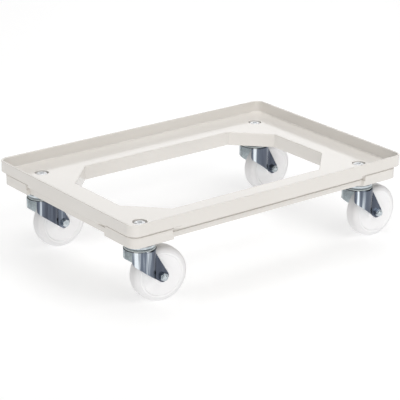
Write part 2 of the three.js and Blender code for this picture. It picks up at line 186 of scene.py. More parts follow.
AXLE_SHANK = 0.004
AXLE_POINT = 0.001
AXLE_FLATS = 0.013
AXLE_HEAD = 0.0053
AXLE_NUT_HEX = 0.0056
AXLE_NUT = 0.008
AXLE_COLLAR = 0.0056
AXLE_COLLAR_BORE = AXLE_COLLAR - 0.0005
AXLE_BEYOND = 0.0006            # how far the bolt's end stands out of its nut
SLEEVE_BORE = 0.0044
SLEEVE_RADIUS = 0.0064

HEX_TRIM = 1.01                 # turned radius round a hexagon, in corner radii
HEX_END = 0.48                  # radius of its flat end, in widths across flats
HEX_SLOPE = 0.7                 # drop from that end to the corners, per corner overhang

# ---- Outlines ----


def fillet(corners, steps=5):
    """Closed outline through (x, y, radius) corners, each rounded to its radius."""
    points = []
    for i, (x, y, radius) in enumerate(corners):
        here = Vector((x, y))
        if radius == 0:
            points.append((x, y))
            continue
        before = Vector(corners[i - 1][:2]) - here
        after = Vector(corners[(i + 1) % len(corners)][:2]) - here
        before.normalize()
        after.normalize()
        half = before.angle(after) / 2
        centre = here + (before + after).normalized() * radius / math.sin(half)
        start = here + before * radius / math.tan(half) - centre
        end = here + after * radius / math.tan(half) - centre
        turn = start.angle_signed(end)
        for k in range(steps + 1):
            arm = start.copy()
            arm.rotate(Matrix.Rotation(-turn * k / steps, 2))
            points.append(tuple(centre + arm))
    return points


def rounded_rectangle(inset, radius=None):
    """The deck's outline, drawn in by inset."""
    x, y = DECK_HALF.x - inset, DECK_HALF.y - inset
    r = CORNER_RADIUS - inset if radius is None else radius
    return fillet([(x, -y, r), (x, y, r), (-x, y, r), (-x, -y, r)], steps=10)


def opening_outline(grow):
    """The central opening's eight-sided outline, enlarged by grow."""
    x, y = OPENING_HALF.x + grow, OPENING_HALF.y + grow
    cut = OPENING_CUT + grow * (2 - math.sqrt(2))
    r = OPENING_CORNER + grow
    return fillet([
        (x, -y + cut, r), (x, y - cut, r), (x - cut, y, r), (-x + cut, y, r),
        (-x, y - cut, r), (-x, -y + cut, r), (-x + cut, -y, r), (x - cut, -y, r),
    ], steps=4)


def rectangle(x0, x1, y0, y1):
    """Corners in order, whichever way round the two ends of a side are given."""
    x0, x1 = sorted((x0, x1))
    y0, y1 = sorted((y0, y1))
    return [(x0, y0), (x1, y0), (x1, y1), (x0, y1)]


def quarter(radius):
    """(inset, drop) pairs of a rounded edge, from the flat top round to the side."""
    steps = 4
    pairs = []
    for k in range(steps + 1):
        angle = math.pi / 2 * k / steps
        pairs.append((radius * (1 - math.sin(angle)), radius * (1 - math.cos(angle))))
    return pairs


# ---- Solids ----


def as_mesh(bm):
    """Turns the working mesh into a finished one, with every face looking outwards."""
    bmesh.ops.recalc_face_normals(bm, faces=bm.faces)
    mesh = bpy.data.meshes.new("part")
    bm.to_mesh(mesh)
    bm.free()
    return mesh


def loft(levels):
    """Closed solid through (outline, z) levels, lowest first, all with as many points."""
    bm = bmesh.new()
    rings = [[bm.verts.new((x, y, z)) for x, y in outline] for outline, z in levels]
    for low, high in zip(rings, rings[1:]):
        for i, vert in enumerate(low):
            j = (i + 1) % len(low)
            bm.faces.new((vert, low[j], high[j], high[i]))
    bm.faces.new(list(reversed(rings[0])))
    bm.faces.new(rings[-1])
    return as_mesh(bm)


def prism(outline, z0, z1):
    return loft([(outline, z0), (outline, z1)])


def turned(profile, steps):
    """Body of revolution about Z from a closed outline of (radius, z) points."""
    bm = bmesh.new()
    rings = []
    angles = [2 * math.pi * i / steps for i in range(steps)]
    for radius, z in profile:
        if radius < 1e-7:
            rings.append([bm.verts.new((0, 0, z))])
        else:
            points = [(radius * math.cos(a), radius * math.sin(a), z) for a in angles]
            rings.append([bm.verts.new(point) for point in points])
    for low, high in zip(rings, rings[1:] + rings[:1]):
        if len(low) == 1 and len(high) == 1:
            continue
        for i in range(steps):
            j = (i + 1) % steps
            around = [low[i % len(low)], low[j % len(low)]]
            around += [high[j % len(high)], high[i % len(high)]]
            bm.faces.new(list(dict.fromkeys(around)))
    return as_mesh(bm)


def cylinder(radius, z0, z1):
    return turned([(0, z0), (radius, z0), (radius, z1), (0, z1)], steps=64)


def moved(mesh, matrix):
    mesh.transform(matrix)
    return mesh


def at(mesh, x, y):
    return moved(mesh, Matrix.Translation((x, y, 0)))


def combined(base, operation, tools):
    """The mesh of base with each tool mesh joined to it, cut from it or kept in common."""
    scene = bpy.context.scene
    target = bpy.data.objects.new("target", base)
    scene.collection.objects.link(target)
    made = [target]
    for mesh in tools:
        tool = bpy.data.objects.new("tool", mesh)
        scene.collection.objects.link(tool)
        made.append(tool)
        step = target.modifiers.new("step", "BOOLEAN")
        step.operation = operation
        step.solver = "EXACT"
        step.object = tool
    graph = bpy.context.evaluated_depsgraph_get()
    result = bpy.data.meshes.new_from_object(target.evaluated_get(graph))
    for obj in made:
        bpy.data.objects.remove(obj)
    return result


def joined(meshes):
    """One mesh holding all of these, side by side."""
    bm = bmesh.new()
    for mesh in meshes:
        bm.from_mesh(mesh)
    mesh = bpy.data.meshes.new("part")
    bm.to_mesh(mesh)
    bm.free()
    return mesh


# ---- Deck ----


def deck_shell():
    """The outside: corner skirt, groove, sloping ledge and rim band with its rounded top."""
    levels = []
    for inset, drop in quarter(EDGE):
        skirt = rounded_rectangle(SKIRT_INSET + inset, CORNER_RADIUS)
        levels.append((skirt, SKIRT_BOTTOM + drop))
    groove_bottom = LEDGE - GROOVE_HEIGHT
    groove = rounded_rectangle(SKIRT_INSET + GROOVE_DEPTH, CORNER_RADIUS)
    levels.append((rounded_rectangle(SKIRT_INSET, CORNER_RADIUS), groove_bottom))
    levels.append((groove, groove_bottom + GROOVE_LIP))
    levels.append((groove, LEDGE))
    for inset, drop in quarter(BAND_ROUND):
        levels.append((rounded_rectangle(inset), BAND_BOTTOM + drop))
    for inset, drop in reversed(quarter(RIM_ROUND)):
        levels.append((rounded_rectangle(inset), RIM_TOP - drop))
    return loft(levels)


def tray():
    """The space inside the rim."""
    levels = []
    for inset, drop in quarter(PLATE_FILLET):
        levels.append((rounded_rectangle(RIM_THICKNESS + inset), PLATE_TOP + drop))
    for inset, drop in reversed(quarter(RIM_ROUND)):
        levels.append((rounded_rectangle(RIM_THICKNESS - inset), RIM_TOP - drop))
    levels.append((rounded_rectangle(RIM_THICKNESS - RIM_ROUND), RIM_TOP + 2 * PAST))
    return loft(levels)


def outside_walls(deeper=0.0, low=SKIRT_BOTTOM - PAST):
    """The space outside the set-back walls along each side, reaching in by deeper."""
    end = SKIRT_END + Vector((deeper, deeper))
    tools = []
    for side in (-1, 1):
        y0 = side * (DECK_HALF.y - MID_INSET - deeper)
        x0 = side * (DECK_HALF.x - MID_INSET - deeper)
        y1, x1 = y0 + side * MID_REACH, x0 + side * MID_REACH
        tools.append(prism(rectangle(-end.x, end.x, y0, y1), low, LEDGE))
        tools.append(prism(rectangle(x0, x1, -end.y, end.y), low, LEDGE))
    return tools


def under_walls():
    """The low space under the set-back walls, which hang less far than the corner skirts."""
    low = SKIRT_BOTTOM - PAST
    lengthwise = rectangle(-SKIRT_END.x, SKIRT_END.x, -DECK_HALF.y, DECK_HALF.y)
    crosswise = rectangle(-DECK_HALF.x, DECK_HALF.x, -SKIRT_END.y, SKIRT_END.y)
    return [prism(plan, low, MID_BOTTOM) for plan in (lengthwise, crosswise)]


def mid_band(end, face, inset):
    """Plan of the deeper band on one side, with an easy curve out at both ends."""
    back = face - MID_INSET - PAST
    ramp = []
    for k in range(MID_RAMP_STEPS + 1):
        share = k / MID_RAMP_STEPS
        rise = (1 - math.cos(math.pi * share)) / 2
        ramp.append((end - MID_RAMP * share, face - SKIRT_INSET + SKIRT_INSET * rise - inset))
    left = [(-x, y) for x, y in reversed(ramp)]
    return [(end, back), *ramp, *left, (-end, back)]


def mid_bands():
    """The deeper band on all four sides, up into the rim band."""
    tools = []
    sides = ((SKIRT_END.x, DECK_HALF.y, (0, 180)), (SKIRT_END.y, DECK_HALF.x, (90, -90)))
    for end, face, turns in sides:
        for turn in turns:
            levels = []
            for inset, drop in quarter(EDGE):
                levels.append((mid_band(end, face, inset), MID_BAND_BOTTOM + drop))
            levels.append((mid_band(end, face, 0), BAND_BOTTOM + 3 * PAST))
            tools.append(moved(loft(levels), Matrix.Rotation(math.radians(turn), 4, "Z")))
    return tools


def hollow():
    """The space under the plate, inside the skirts and the set-back walls."""
    low = SKIRT_BOTTOM - 2 * PAST
    ceiling = PLATE_TOP - PLATE_THICKNESS
    inside = prism(rounded_rectangle(SKIRT_INSET + WALL, CORNER_RADIUS - WALL), low, ceiling)
    end = SKIRT_END + Vector((WALL, WALL))
    inner = MID_INSET + WALL
    keep = []
    for side in (-1, 1):
        y0, y1 = side * (DECK_HALF.y - inner), side * (DECK_HALF.y + FAR_PAST)
        x0, x1 = side * (DECK_HALF.x - inner), side * (DECK_HALF.x + FAR_PAST)
        keep.append(prism(rectangle(-end.x, end.x, y0, y1), low - PAST, ceiling + PAST))
        keep.append(prism(rectangle(x0, x1, -end.y, end.y), low - PAST, ceiling + PAST))
    return combined(inside, "DIFFERENCE", keep)


def opening():
    """The central opening, flared a little at its rounded upper and lower edges."""
    levels = [(opening_outline(EDGE), OPENING_BOTTOM - PAST)]
    for grow, drop in quarter(EDGE):
        levels.append((opening_outline(grow), OPENING_BOTTOM + drop))
    for grow, drop in reversed(quarter(OPENING_ROUND)):
        levels.append((opening_outline(grow), PLATE_TOP - drop))
    levels.append((opening_outline(OPENING_ROUND), PLATE_TOP + PAST))
    return loft(levels)


def castor_points():
    """Swivel centres, measured from the deck's centre."""
    return [(swivel_of[c].x - DECK_CENTRE.x, swivel_of[c].y - DECK_CENTRE.y) for c in CORNERS]


def recess():
    """The round pocket over a castor's mounting bolt."""
    profile = [(0, RECESS_FLOOR), (RECESS_RADIUS, RECESS_FLOOR)]
    for grow, drop in reversed(quarter(EDGE)):
        profile.append((RECESS_RADIUS + grow, PLATE_TOP - drop))
    profile += [(RECESS_RADIUS + EDGE, PLATE_TOP + PAST), (0, PLATE_TOP + PAST)]
    return turned(profile, steps=72)


def boss():
    """The thick round foot that a castor's head is clamped against."""
    top = PLATE_TOP - PLATE_THICKNESS / 2
    return turned(fillet([
        (0, BOSS_BOTTOM, 0), (BOSS_RADIUS, BOSS_BOTTOM, EDGE), (BOSS_RADIUS, top, 0), (0, top, 0),
    ]), steps=72)


def deck_mesh():
    """The whole moulding but for its ribs, about the deck's centre."""
    collar = loft([
        (opening_outline(WALL - EDGE), OPENING_BOTTOM),
        (opening_outline(WALL), OPENING_BOTTOM + EDGE),
        (opening_outline(WALL), PLATE_TOP - PLATE_THICKNESS / 2),
    ])
    grooves = outside_walls(GROOVE_DEPTH, MID_GROOVE_BOTTOM)
    body = combined(deck_shell(), "DIFFERENCE", [*outside_walls(), *grooves, *under_walls()])
    body = combined(body, "UNION", mid_bands())
    body = combined(body, "DIFFERENCE", [hollow()])
    body = combined(body, "UNION", [collar, *[at(boss(), x, y) for x, y in castor_points()]])
    cuts = [tray(), opening()]
    for x, y in castor_points():
        cuts.append(at(recess(), x, y))
        cuts.append(at(cylinder(BOLT_HOLE, BOSS_BOTTOM - PAST, RECESS_FLOOR + PAST), x, y))
    return combined(body, "DIFFERENCE", cuts)


def rib(x0, x1, y0, y1):
    """One rib, thinned to a narrow foot."""
    along_y = x1 - x0 < y1 - y0
    nip_x, nip_y = (EDGE, 0) if along_y else (0, EDGE)
    foot = rectangle(x0 + nip_x, x1 - nip_x, y0 + nip_y, y1 - nip_y)
    whole = rectangle(x0, x1, y0, y1)
    top = PLATE_TOP - PLATE_THICKNESS / 2
    return loft([(foot, RIB_BOTTOM), (whole, RIB_BOTTOM + EDGE), (whole, top)])


def rib_grid():
    """The grid of ribs under the plate, clear of the opening and the bosses' bores."""
    half = RIB_THICKNESS / 2
    end_x = DECK_HALF.x - SKIRT_INSET - WALL / 2
    end_y = DECK_HALF.y - SKIRT_INSET - WALL / 2
    beside_x, beside_y = RIBS_BESIDE_MIDDLE
    lines_x = {i * RIB_PITCH for i in range(-beside_x, beside_x + 1)}
    lines_y = {i * RIB_PITCH for i in range(-beside_y, beside_y + 1)}
    lines_x.update(x for x, _ in castor_points())
    lines_y.update(y for _, y in castor_points())
    ribs = [rib(x - half, x + half, -end_y, end_y) for x in sorted(lines_x)]
    ribs += [rib(-end_x, end_x, y - half, y + half) for y in sorted(lines_y)]
    low, high = RIB_BOTTOM - FAR_PAST, PLATE_TOP + FAR_PAST
    cuts = [prism(opening_outline(WALL / 2), low, high)]
    for x, y in castor_points():
        cuts.append(at(cylinder(BOSS_RADIUS - RIB_INTO_BOSS, low, high), x, y))
    cuts += outside_walls(RIB_END_DEPTH)
    return joined([combined(r, "DIFFERENCE", [cut.copy() for cut in cuts]) for r in ribs])


# ---- Castors, drawn about their own swivel axis with the wheel trailing along +X ----


def across(outline, half_width):
    """Solid with this (x, z) outline, as wide as given along Y."""
    body = prism(outline, -half_width, half_width)
    return moved(body, Matrix.Rotation(math.pi / 2, 4, "X"))


def on_axle(mesh, trail):
    """Moves a body turned about Z so that it lies along the wheel axle."""
    turn = Matrix.Rotation(-math.pi / 2, 4, "X")
    return moved(mesh, Matrix.Translation((trail, 0, AXLE_HEIGHT)) @ turn)


def tangent(centre_a, radius_a, centre_b, radius_b, side):
    """Angle at which the line touching both circles on one side leaves them."""
    between = centre_b - centre_a
    heading = math.atan2(between.y, between.x)
    return heading + side * math.acos((radius_a - radius_b) / between.length)


def arc(centre, radius, start, end, steps):
    angles = [start + (end - start) * k / steps for k in range(steps + 1)]
    return [(centre.x + radius * math.cos(a), centre.y + radius * math.sin(a)) for a in angles]


def leg_outline(trail):
    """Side view of the fork's legs as (x, z), from the crown down to the axle's eye."""
    front = -math.sqrt(FORK_RADIUS ** 2 - FORK_SLOT_FRONT ** 2)
    ahead = -FORK_RADIUS - PAST
    corner = Vector((front + FORK_CORNER, FORK_CORNER_HEIGHT))
    eye = Vector((trail, AXLE_HEIGHT))
    under = tangent(corner, FORK_CORNER, eye, FORK_EYE, -1)
    behind = tangent(FORK_REAR, 0, eye, FORK_EYE, 1)
    points = [(FORK_REAR.x, FORK_CROWN + PAST), (ahead, FORK_CROWN + PAST)]
    points += [(ahead, FORK_CROWN), (front, FORK_CROWN)]
    points += arc(corner, FORK_CORNER, -math.pi, under, 10)
    points += arc(eye, FORK_EYE, under, behind, 20)
    points.append(tuple(FORK_REAR))
    return points


def fork_mesh(trail):
    """Pressed fork: a drum cut open front and rear, with flat cheeks out to the axle."""
    below = AXLE_HEIGHT - 2 * FORK_EYE
    ceiling = FORK_CROWN - FORK_SHEET
    inner = FORK_RADIUS - FORK_SHEET
    drum = turned(fillet([
        (inner, below, 0), (FORK_RADIUS, below, 0), (FORK_RADIUS, FORK_CROWN, FORK_SHOULDER),
        (FORK_HOLE, FORK_CROWN, FORK_SHEET / 3), (FORK_HOLE, ceiling, FORK_SHEET / 3),
        (inner, ceiling, FORK_SHOULDER - FORK_SHEET),
    ], steps=6), steps=96)
    cheeks = []
    for side in (-1, 1):
        y0, y1 = side * (FORK_FLANK - FORK_SHEET), side * FORK_FLANK
        plan = rectangle(FORK_FLANK_START, trail + 2 * FORK_EYE, y0, y1)
        cheeks.append(prism(plan, below - PAST, FORK_REAR.y + PAST))
    shell = combined(drum, "UNION", cheeks)
    wide = FORK_RADIUS + 2 * PAST
    front = rectangle(-wide, 0, -FORK_SLOT_FRONT, FORK_SLOT_FRONT)
    rear = rectangle(-PAST, wide, -FORK_SLOT_REAR, FORK_SLOT_REAR)
    slots = [prism(plan, below - FAR_PAST, FORK_SLOT_TOP) for plan in (front, rear)]
    shell = combined(shell, "DIFFERENCE", slots)
    wider = wide + PAST
    plan = rectangle(-wider, wider, -wider, wider)
    crown = prism(plan, FORK_SLOT_TOP, FORK_CROWN + 2 * PAST)
    kept = combined(across(leg_outline(trail), wide), "UNION", [crown])
    shell = combined(shell, "INTERSECT", [kept])
    reach = FORK_FLANK + 2 * PAST
    return combined(shell, "DIFFERENCE", [on_axle(cylinder(FORK_AXLE_HOLE, -reach, reach), trail)])


def shows_painted_reflection(face):
    """Whether a face of the fork looks in towards the wheel or up under the swivel head: these
    faces are painted pale, a painted reflection of the white wheel and a painted highlight on the
    crown's shoulder.
    """
    out = face.center.xy
    if out.x > FORK_FLANK_START:
        out.x = 0
    crown = FORK_CROWN - FORK_SHOULDER / 4
    return face.center.z > crown or face.normal.xy.dot(out) < FORK_LOOKS_IN


def mark_painted_highlights(mesh):
    """Stores the painted highlight at each point of the drum, by its angle from the trailing side:
    bright upright streaks standing in for reflections.
    """
    painted_highlight = mesh.attributes.new("painted_highlight", "FLOAT", "POINT")
    for vert, item in zip(mesh.vertices, painted_highlight.data):
        around = abs(math.degrees(math.atan2(vert.co.y, vert.co.x)))
        item.value = sum(
            height * math.exp(-((around - middle) / width) ** 2)
            for middle, width, height in FORK_PAINTED_HIGHLIGHTS
        )
    return mesh


def wheel_mesh(trail):
    """One-piece wheel with its hub, sunken web, rounded tread and moulding line."""
    web = WHEEL_HALF - WHEEL_WEB_DEPTH
    side = [
        (HUB_BORE, HUB_HALF, 0.0004), (HUB_RADIUS, HUB_HALF, 0.0008),
        (WHEEL_WEB_INNER, web, 0.0010), (WHEEL_WEB_OUTER, web, 0.0012),
        (WHEEL_FACE_INNER, WHEEL_HALF, 0.0010), (WHEEL_RUNNING, WHEEL_HALF, WHEEL_SHOULDER),
        (WHEEL_RUNNING, WHEEL_SEAM_FOOT, 0), (WHEEL_SEAM, WHEEL_SEAM_HALF, 0),
    ]
    mirrored = [(radius, -z, round_off) for radius, z, round_off in reversed(side)]
    return on_axle(turned(fillet(side + mirrored, steps=8), steps=128), trail)


def on_tread(trail):
    """Picks out the wheel's faces on its rounded running surface."""
    hub = Vector((trail, AXLE_HEIGHT))
    return lambda face: (face.center.xz - hub).length > WHEEL_TREAD_START


def head_mesh():
    """The castor's fixed top: a shallow pressed dish with a tube down through the fork."""
    top = BOSS_BOTTOM - GAP
    under = top - HEAD_SHEET
    return turned(fillet([
        (HEAD_BORE, HEAD_SPIGOT_BOTTOM, 0.0003), (HEAD_SPIGOT, HEAD_SPIGOT_BOTTOM, 0.0003),
        (HEAD_SPIGOT, under, 0.0010), (HEAD_RIM_INNER, under, 0.0008),
        (HEAD_RIM_INNER, HEAD_RIM_BOTTOM, 0.0003), (HEAD_RIM_OUTER, HEAD_RIM_BOTTOM, 0.0006),
        (HEAD_RIM_OUTER, top, 0.0018), (HEAD_BORE, top, 0.0003),
    ]), steps=96)


def ball_mesh(ring_radius, ball_radius, height):
    """A full row of balls, with hardly any room between neighbours."""
    count = math.floor(2 * math.pi * ring_radius / (BALL_PITCH * ball_radius))
    bm = bmesh.new()
    for k in range(count):
        angle = 2 * math.pi * k / count
        centre = (ring_radius * math.cos(angle), ring_radius * math.sin(angle), height)
        place = Matrix.Translation(centre)
        bmesh.ops.create_icosphere(bm, subdivisions=3, radius=ball_radius, matrix=place)
    mesh = bpy.data.meshes.new("part")
    bm.to_mesh(mesh)
    bm.free()
    return mesh


def cup_mesh():
    """The dish under the lower balls, which holds the fork up."""
    inner = HEAD_SPIGOT + GAP
    return turned(fillet([
        (inner, CUP_BOTTOM, 0.0003), (CUP_RADIUS, CUP_BOTTOM, 0.0008),
        (CUP_RADIUS, CUP_LIP_TOP, 0.0002), (CUP_LIP_INNER, CUP_LIP_TOP, 0.0002),
        (CUP_LIP_INNER, CUP_FLOOR, 0.0005), (inner, CUP_FLOOR, 0.0003),
    ], steps=4), steps=64)


def hexagon(flats, z0, z1):
    radius = flats / math.sqrt(3)
    angles = [math.pi / 3 * k + math.pi / 6 for k in range(6)]
    return prism([(radius * math.cos(a), radius * math.sin(a)) for a in angles], z0, z1)


def hex_body(flats, z0, z1, lower, upper):
    """Hexagon with its corners turned down at the ends asked for."""
    corner = flats / math.sqrt(3)
    drop = (corner - flats / 2) * HEX_SLOPE
    trimmed, end = corner * HEX_TRIM, flats * HEX_END
    outline = [(0, z0)]
    outline += [(end, z0), (trimmed, z0 + drop)] if lower else [(trimmed, z0)]
    outline += [(trimmed, z1 - drop), (end, z1)] if upper else [(trimmed, z1)]
    outline.append((0, z1))
    return combined(turned(outline, steps=72), "INTERSECT", [hexagon(flats, z0 - PAST, z1 + PAST)])


def mounting_bolt_mesh():
    """Domed head with a hexagon socket, and a plain shank down to the mounting nut."""
    seat = RECESS_FLOOR + WASHER_THICKNESS + 2 * GAP
    body = turned(fillet([
        (0, BOLT_TIP, 0), (BOLT_POINT, BOLT_TIP, 0), (BOLT_SHANK, BOLT_TIP + BOLT_CHAMFER, 0),
        (BOLT_SHANK, seat, 0), (BOLT_HEAD, seat, 0.0003),
        (BOLT_HEAD, BOLT_TOP - BOLT_DOME_DROP, 0.0007), (BOLT_DOME, BOLT_TOP, 0.0022),
        (0, BOLT_TOP, 0),
    ]), steps=72)
    socket = hexagon(BOLT_SOCKET_FLATS, BOLT_TOP - BOLT_SOCKET_DEPTH, BOLT_TOP + PAST)
    return combined(body, "DIFFERENCE", [socket])


def washer_mesh(inner, outer, z0, z1):
    r = min(z1 - z0, outer - inner) / 4
    outline = [(inner, z0, r), (outer, z0, r), (outer, z1, r), (inner, z1, r)]
    return turned(fillet(outline, steps=3), steps=64)


def mounting_nut_mesh():
    bore = cylinder(NUT_BORE, NUT_BOTTOM - PAST, NUT_TOP + PAST)
    return combined(hex_body(NUT_FLATS, NUT_BOTTOM, NUT_TOP, True, False), "DIFFERENCE", [bore])


def axle_bolt_mesh():
    """Head below z = 0 and shank up through the lock nut, on the wheel's own axis."""
    seat = FORK_FLANK + GAP
    end = seat + AXLE_NUT + AXLE_BEYOND
    head = hex_body(AXLE_FLATS, -seat - AXLE_HEAD, -seat, True, False)
    shank = turned(fillet([
        (0, -seat - PAST, 0), (AXLE_SHANK, -seat - PAST, 0),
        (AXLE_SHANK, end - AXLE_POINT, 0.0004), (AXLE_SHANK - AXLE_POINT, end, 0.0003),
        (0, end, 0),
    ], steps=3), steps=64)
    return combined(head, "UNION", [shank])


def axle_nut_mesh():
    """Hexagon and, standing on it, the thin collar crimped over the plastic ring."""
    start = FORK_FLANK + GAP
    hex_end = start + AXLE_NUT_HEX
    end = start + AXLE_NUT
    collar = turned(fillet([
        (AXLE_COLLAR_BORE, hex_end - GAP, 0), (AXLE_COLLAR, hex_end - GAP, 0),
        (AXLE_COLLAR, end, 0.0004), (AXLE_COLLAR_BORE, end, 0.0001),
    ], steps=4), steps=72)
    bore = cylinder(AXLE_SHANK + GAP, start - PAST, end + PAST)
    body = combined(hex_body(AXLE_FLATS, start, hex_end, True, True), "DIFFERENCE", [bore])
    return joined([body, collar])


def nut_lining_mesh():
    """The plastic ring that grips the thread."""
    hex_end = FORK_FLANK + GAP + AXLE_NUT_HEX
    end = FORK_FLANK + GAP + AXLE_NUT
    return washer_mesh(AXLE_SHANK + GAP / 2, AXLE_COLLAR_BORE, hex_end, end - GAP)


def sleeve_mesh():
    """The tube that the wheel turns on, clamped between the fork's legs."""
    half = FORK_FLANK - FORK_SHEET - GAP
    return turned(fillet([
        (SLEEVE_BORE, -half, 0.0003), (SLEEVE_RADIUS, -half, 0.0003),
        (SLEEVE_RADIUS, half, 0.0003), (SLEEVE_BORE, half, 0.0003),
    ], steps=3), steps=64)


# ---- Materials ----


class Nodes:
    """Short calls for wiring one material's nodes."""

    def __init__(self, name):
        self.material = bpy.data.materials.new(name)
        self.material.use_nodes = True
        self.tree = self.material.node_tree
        self.shader = self.tree.nodes["Principled BSDF"]

    def node(self, kind, **values):
        """Adds a node and sets each value on its property or, without one, its input."""
        node = self.tree.nodes.new(kind)
        for key, value in values.items():
            if hasattr(node, key):
                setattr(node, key, value)
            else:
                node.inputs[key.replace("_", " ").title()].default_value = value
        return node

    def link(self, out, into):
        self.tree.links.new(out, into)

    def place(self, scale):
        """The piece's own coordinates in metres, stretched by scale."""
        where = self.node("ShaderNodeTexCoord")
        mapping = self.node("ShaderNodeMapping")
        mapping.inputs["Scale"].default_value = scale
        self.link(where.outputs["Object"], mapping.inputs["Vector"])
        return mapping.outputs["Vector"]

    def noise(self, scale, detail, roughness=0.5, stretch=(1, 1, 1)):
        """Cloudy value over the piece, finer along an axis that is stretched more."""
        noise = self.node("ShaderNodeTexNoise", scale=scale, detail=detail, roughness=roughness)
        self.link(self.place(stretch), noise.inputs["Vector"])
        return noise.outputs["Fac"]

    def ramp(self, fac, stops):
        """Colour ramp through (position, colour) stops."""
        ramp = self.node("ShaderNodeValToRGB")
        elements = ramp.color_ramp.elements
        while len(elements) < len(stops):
            elements.new(0.5)
        for element, (position, colour) in zip(elements, stops):
            element.position = position
            element.color = (*colour, 1)
        self.link(fac, ramp.inputs["Fac"])
        return ramp.outputs["Color"]

    def spread(self, fac, low, high):
        """The noise's usual span, 0.3 to 0.7, stretched from low to high."""
        node = self.node("ShaderNodeMapRange")
        node.inputs["From Min"].default_value = 0.3
        node.inputs["From Max"].default_value = 0.7
        node.inputs["To Min"].default_value = low
        node.inputs["To Max"].default_value = high
        self.link(fac, node.inputs["Value"])
        return node.outputs["Result"]

    def bump(self, layers):
        """Stacks (height, strength, distance) layers onto the shader's normal."""
        normal = None
        for height, strength, distance in layers:
            node = self.node("ShaderNodeBump")
            node.inputs["Strength"].default_value = strength
            node.inputs["Distance"].default_value = distance
            self.link(height, node.inputs["Height"])
            if normal is not None:
                self.link(normal, node.inputs["Normal"])
            normal = node.outputs["Normal"]
        self.link(normal, self.shader.inputs["Normal"])

    def set(self, **values):
        for key, value in values.items():
            self.shader.inputs[key.replace("_", " ")].default_value = value


def deck_plastic():
    """Glossy off-white moulded plastic with a faint flow pattern and orange peel."""
    n = Nodes("deck_plastic")
    flow = n.noise(scale=5.0, detail=4.0)
    tone = n.ramp(flow, [(0.30, (0.765, 0.735, 0.695)), (0.70, (0.795, 0.768, 0.730))])
    n.link(tone, n.shader.inputs["Base Color"])
    scuffs = n.noise(scale=34.0, detail=5.0, roughness=0.65, stretch=(1.0, 3.2, 1.0))
    n.link(n.spread(scuffs, 0.09, 0.17), n.shader.inputs["Roughness"])
    grain = n.noise(scale=420.0, detail=2.0)
    peel = n.noise(scale=46.0, detail=2.0)
    n.bump([(grain, 0.10, 0.0004), (peel, 0.10, 0.0008)])
    n.set(IOR=1.5, Coat_Weight=0.35, Coat_Roughness=0.08)
    return n.material


def wheel_plastic(name, light):
    """Satin white moulded wheel, a little waxy, clouded a shade darker in patches."""
    n = Nodes(name)
    dark = [part - 0.03 for part in light]
    clouds = n.noise(scale=22.0, detail=4.0)
    n.link(n.ramp(clouds, [(0.30, dark), (0.70, light)]), n.shader.inputs["Base Color"])
    wax = n.noise(scale=60.0, detail=4.0, roughness=0.6)
    n.link(n.spread(wax, 0.30, 0.44), n.shader.inputs["Roughness"])
    grain = n.noise(scale=900.0, detail=2.0)
    dents = n.noise(scale=90.0, detail=2.0)
    n.bump([(grain, 0.12, 0.0003), (dents, 0.08, 0.0006)])
    n.set(IOR=1.5)
    return n.material


def zinc_plate():
    """Bright zinc plate on pressed steel: blue-grey, with upright streaks of painted reflection,
    random ones and the drum's placed painted highlights, and a soft cloudiness.
    """
    n = Nodes("zinc_plate")
    painted_reflections = n.node("ShaderNodeMath", operation="ADD")
    reflection_streaks = n.noise(scale=60.0, detail=3.0, roughness=0.5, stretch=(1.0, 1.0, 0.08))
    n.link(reflection_streaks, painted_reflections.inputs[0])
    marked = n.node("ShaderNodeAttribute", attribute_name="painted_highlight")
    n.link(marked.outputs["Fac"], painted_reflections.inputs[1])
    # Dark blue-grey zinc, near white where the streaks paint in reflections.
    tone = n.ramp(painted_reflections.outputs["Value"], [
        (0.34, (0.06, 0.07, 0.095)), (0.50, (0.105, 0.12, 0.155)),
        (0.64, (0.17, 0.20, 0.25)), (0.76, (0.78, 0.84, 0.89)),
    ])
    n.link(tone, n.shader.inputs["Base Color"])
    fine = n.noise(scale=260.0, detail=6.0, roughness=0.7, stretch=(1.0, 1.0, 0.12))
    n.link(n.spread(fine, 0.10, 0.24), n.shader.inputs["Roughness"])
    grain = n.noise(scale=700.0, detail=3.0)
    n.bump([(fine, 0.08, 0.0003), (grain, 0.06, 0.0002)])
    n.set(Metallic=1.0)
    return n.material


def zinc_with_painted_reflection(name, light, metallic):
    """The same plate painted pale and cloudy: a painted reflection and highlight where the fork
    faces the wheel and on its crown, and on the mounting bolt and washer.
    """
    n = Nodes(name)
    middle = [part * 0.90 for part in light]
    dark = [part * 0.80 for part in light]
    clouds = n.noise(scale=42.0, detail=4.0, roughness=0.6, stretch=(1.0, 1.0, 0.5))
    tone = n.ramp(clouds, [(0.32, dark), (0.52, middle), (0.70, light)])
    n.link(tone, n.shader.inputs["Base Color"])
    fine = n.noise(scale=240.0, detail=5.0, roughness=0.7)
    n.link(n.spread(fine, 0.20, 0.34), n.shader.inputs["Roughness"])
    n.bump([(fine, 0.12, 0.0003)])
    n.set(Metallic=metallic)
    return n.material


def fastener_plate():
    """Brighter zinc plate on nuts, bolts and washers, with fine tool marks."""
    n = Nodes("fastener_plate")
    clouds = n.noise(scale=120.0, detail=4.0, roughness=0.6)
    tone = n.ramp(clouds, [(0.30, (0.42, 0.47, 0.50)), (0.70, (0.66, 0.71, 0.74))])
    n.link(tone, n.shader.inputs["Base Color"])
    marks = n.noise(scale=420.0, detail=5.0, roughness=0.65, stretch=(1.0, 0.2, 1.0))
    n.link(n.spread(marks, 0.18, 0.34), n.shader.inputs["Roughness"])
    n.bump([(marks, 0.14, 0.0002)])
    n.set(Metallic=1.0)
    return n.material


